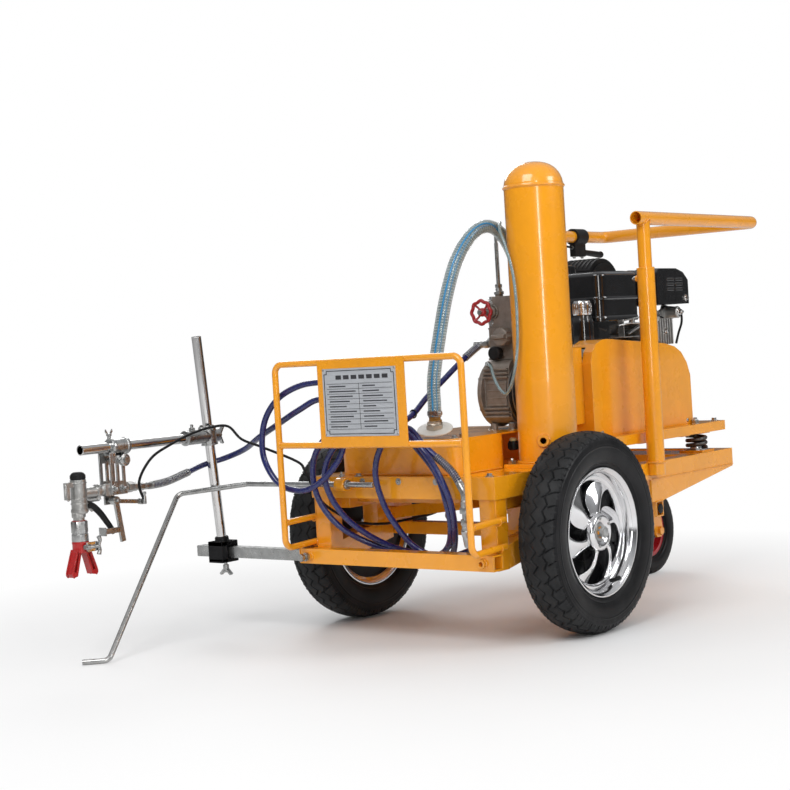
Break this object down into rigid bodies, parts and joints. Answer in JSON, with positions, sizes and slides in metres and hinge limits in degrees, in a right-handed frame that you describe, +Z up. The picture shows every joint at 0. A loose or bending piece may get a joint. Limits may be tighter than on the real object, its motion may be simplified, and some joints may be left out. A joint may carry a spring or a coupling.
{
  "type": "line striping machine",
  "caption": "Walk-behind airless road line painting machine: tray frame on large front wheels and a rear caster, engine, belt-driven paint pump, accumulator and outrigger spray gun.",
  "frame": {"origin": "on the ground under the middle of the main axle", "axes": "+Z up; -Y is the direction of travel, the operator stands at +Y; +X is the machine's left, away from the spray gun"},
  "size_m": [0.9615, 1.758, 1.015],
  "materials": {
    "orange_paint": "gloss",
    "zinc_steel": "zinc plated",
    "chrome": "polished",
    "nameplate_grey": "printed, satin",
    "tyre_rubber": "moulded",
    "polished_alloy": "polished cast",
    "red_paint": "gloss",
    "red_plastic": "moulded",
    "cast_alloy": "as cast, weathered",
    "clear_hose": "clear reinforced",
    "strainer_steel": "machined",
    "blue_hose": "smooth",
    "black_rubber": "smooth",
    "black_plastic": "moulded",
    "engine_black": "gloss enamel",
    "black_paint": "satin",
    "spring_steel": "oiled",
    "pulley_iron": "machined",
    "gun_alloy": "cast, satin"
  },
  "bodies": {
    "chassis": {"chassis_frame": "orange_paint", "deck_plate": "orange_paint", "front_sleeve": "orange_paint", "sleeve_lock_bolt": "zinc_steel", "front_guard": "orange_paint", "nameplate": "nameplate_grey", "pump_base": "orange_paint", "accumulator_tank": "orange_paint", "main_axle": "orange_paint", "handle_posts": "orange_paint", "caster_mount": "orange_paint", "pump_housing": "cast_alloy", "pump_head": "cast_alloy", "suction_hose": "clear_hose", "suction_strainer": "strainer_steel", "hose_support_rod": "zinc_steel", "bleed_tube": "clear_hose", "chassis_fasteners": "zinc_steel", "pressure_hose": "blue_hose", "control_cable": "black_rubber", "isolator_springs": "spring_steel"},
    "wheel_left": {"tyre_left": "tyre_rubber", "rim_left": "polished_alloy"},
    "wheel_right": {"tyre_right": "tyre_rubber", "rim_right": "polished_alloy"},
    "caster": {"caster_fork": "orange_paint"},
    "caster_wheel": {"caster_rim": "red_paint", "caster_tyre": "tyre_rubber"},
    "handle": {"handle_frame": "orange_paint", "lever_bracket": "black_plastic"},
    "hand_lever": {"hand_lever": "black_plastic"},
    "platform": {"engine_platform": "orange_paint", "belt_guard": "orange_paint", "engine_crankcase": "cast_alloy", "engine_cylinder": "cast_alloy", "recoil_cover": "black_plastic", "fuel_tank": "engine_black", "muffler_guard": "engine_black", "air_cleaner": "black_plastic", "oil_canister": "chrome", "drive_belts": "black_rubber"},
    "fuel_cap": {"fuel_cap": "engine_black"},
    "recoil_grip": {"recoil_grip": "black_rubber"},
    "engine_pulley": {"engine_pulley": "pulley_iron"},
    "pump_pulley": {"pump_pulley": "pulley_iron"},
    "handwheel": {"pressure_handwheel": "red_paint"},
    "prime_knob": {"prime_knob": "cast_alloy"},
    "gun_bar": {"gun_bar": "zinc_steel"},
    "pole_clamp": {"pole_clamp": "black_paint"},
    "clamp_screw": {"clamp_wing_screw": "zinc_steel"},
    "gun_pole": {"gun_pole": "chrome"},
    "cross_clamp": {"cross_clamp": "zinc_steel"},
    "gun_arm": {"gun_arm": "chrome"},
    "gun_carriage": {"gun_bracket": "zinc_steel", "spray_gun": "gun_alloy"},
    "gun_trigger": {"gun_trigger": "black_plastic"},
    "cable_lever": {"cable_lever": "zinc_steel"},
    "tip_guard": {"tip_guard": "red_plastic"},
    "spray_tip": {"spray_tip": "chrome"},
    "guide_rod": {"guide_rod": "zinc_steel"}
  },
  "joints": [
    {"name": "wheel_left_spin", "type": "hinge", "parent": "chassis", "child": "wheel_left", "pos_m": [0.317, 0, 0.215], "axis": [1, 0, 0], "continuous": true},
    {"name": "wheel_right_spin", "type": "hinge", "parent": "chassis", "child": "wheel_right", "pos_m": [-0.317, 0, 0.215], "axis": [1, 0, 0], "continuous": true},
    {"name": "caster_swivel", "type": "hinge", "parent": "chassis", "child": "caster", "pos_m": [0, 0.722, 0.27], "axis": [0, 0, 1], "continuous": true},
    {"name": "caster_wheel_spin", "type": "hinge", "parent": "caster", "child": "caster_wheel", "pos_m": [0, 0.762, 0.115], "axis": [1, 0, 0], "continuous": true},
    {"name": "handle_height", "type": "slide", "parent": "chassis", "child": "handle", "axis": [0, 0, 1], "range_m": [-0.08, 0.12]},
    {"name": "hand_lever_pull", "type": "hinge", "parent": "handle", "child": "hand_lever", "pos_m": [-0.229, 0.884, 0.86], "axis": [1, 0, 0], "range_deg": [0, 12]},
    {"name": "platform_bounce", "type": "slide", "parent": "chassis", "child": "platform", "axis": [0, 0, 1], "range_m": [-0.006, 0.004], "stiffness_N_per_m": 80000, "springref_m": 0.00797, "deforming": ["isolator_springs", "drive_belts"]},
    {"name": "fuel_cap_turn", "type": "hinge", "parent": "platform", "child": "fuel_cap", "pos_m": [-0.07, 0.56, 0.79], "axis": [0, 0, 1], "range_deg": [0, 90]},
    {"name": "recoil_pull", "type": "slide", "parent": "platform", "child": "recoil_grip", "axis": [-1, 0, 0], "range_m": [0, 0.25]},
    {"name": "engine_spin", "type": "hinge", "parent": "platform", "child": "engine_pulley", "pos_m": [0.1, 0.56, 0.525], "axis": [1, 0, 0], "continuous": true},
    {"name": "pump_spin", "type": "hinge", "parent": "chassis", "child": "pump_pulley", "pos_m": [0.1, 0.11, 0.513], "axis": [1, 0, 0], "continuous": true},
    {"name": "pressure_handwheel_turn", "type": "hinge", "parent": "chassis", "child": "handwheel", "pos_m": [0.045, 0.05, 0.697], "axis": [0, 1, 0], "range_deg": [-180, 180]},
    {"name": "prime_knob_turn", "type": "hinge", "parent": "chassis", "child": "prime_knob", "pos_m": [0.079, 0.06, 0.64], "axis": [0, 1, 0], "range_deg": [0, 90]},
    {"name": "gun_bar_slide", "type": "slide", "parent": "chassis", "child": "gun_bar", "axis": [-1, 0, 0], "range_m": [0, 0.2], "deforming": ["pressure_hose", "control_cable"]},
    {"name": "clamp_slide", "type": "slide", "parent": "gun_bar", "child": "pole_clamp", "axis": [-1, 0, 0], "range_m": [0, 0.03]},
    {"name": "clamp_screw_turn", "type": "hinge", "parent": "pole_clamp", "child": "clamp_screw", "pos_m": [-0.52, -0.2525, 0.15], "axis": [0, 0, 1], "range_deg": [-180, 180]},
    {"name": "pole_swivel", "type": "hinge", "parent": "pole_clamp", "child": "gun_pole", "pos_m": [-0.512, -0.268, 0.207], "axis": [0, -0.0872, 0.9962], "range_deg": [-40, 40]},
    {"name": "cross_clamp_height", "type": "slide", "parent": "gun_pole", "child": "cross_clamp", "axis": [0, -0.0872, 0.9962], "range_m": [-0.08, 0.15]},
    {"name": "arm_roll", "type": "hinge", "parent": "cross_clamp", "child": "gun_arm", "pos_m": [-0.512, -0.35, 0.453], "axis": [0, 1, 0], "range_deg": [-25, 25]},
    {"name": "gun_carriage_slide", "type": "slide", "parent": "gun_arm", "child": "gun_carriage", "axis": [0, 1, 0], "range_m": [-0.05, 0.1]},
    {"name": "cable_lever_turn", "type": "hinge", "parent": "gun_carriage", "child": "cable_lever", "pos_m": [-0.512, -0.586, 0.337], "axis": [1, 0, 0], "range_deg": [0, 8.5]},
    {"name": "gun_trigger_pull", "type": "hinge", "parent": "gun_carriage", "child": "gun_trigger", "pos_m": [-0.512, -0.674, 0.344], "axis": [1, 0, 0], "range_deg": [0, 4.3]},
    {"name": "tip_guard_turn", "type": "hinge", "parent": "gun_carriage", "child": "tip_guard", "pos_m": [-0.512, -0.688, 0.28], "axis": [0, 0, 1], "range_deg": [-90, 90]},
    {"name": "spray_tip_turn", "type": "hinge", "parent": "tip_guard", "child": "spray_tip", "pos_m": [-0.512, -0.688, 0.25], "axis": [1, 0, 0], "range_deg": [0, 180]},
    {"name": "guide_rod_swing", "type": "hinge", "parent": "chassis", "child": "guide_rod", "pos_m": [-0.14, -0.262, 0.34], "axis": [-1, 0, 0], "range_deg": [0, 15]}
  ],
  "couplings": [
    {"joint": "pump_spin", "follows": "engine_spin", "ratio": 0.56},
    {"joint": "cable_lever_turn", "follows": "hand_lever_pull", "ratio": 0.7},
    {"joint": "gun_trigger_pull", "follows": "hand_lever_pull", "ratio": 0.35}
  ]
}
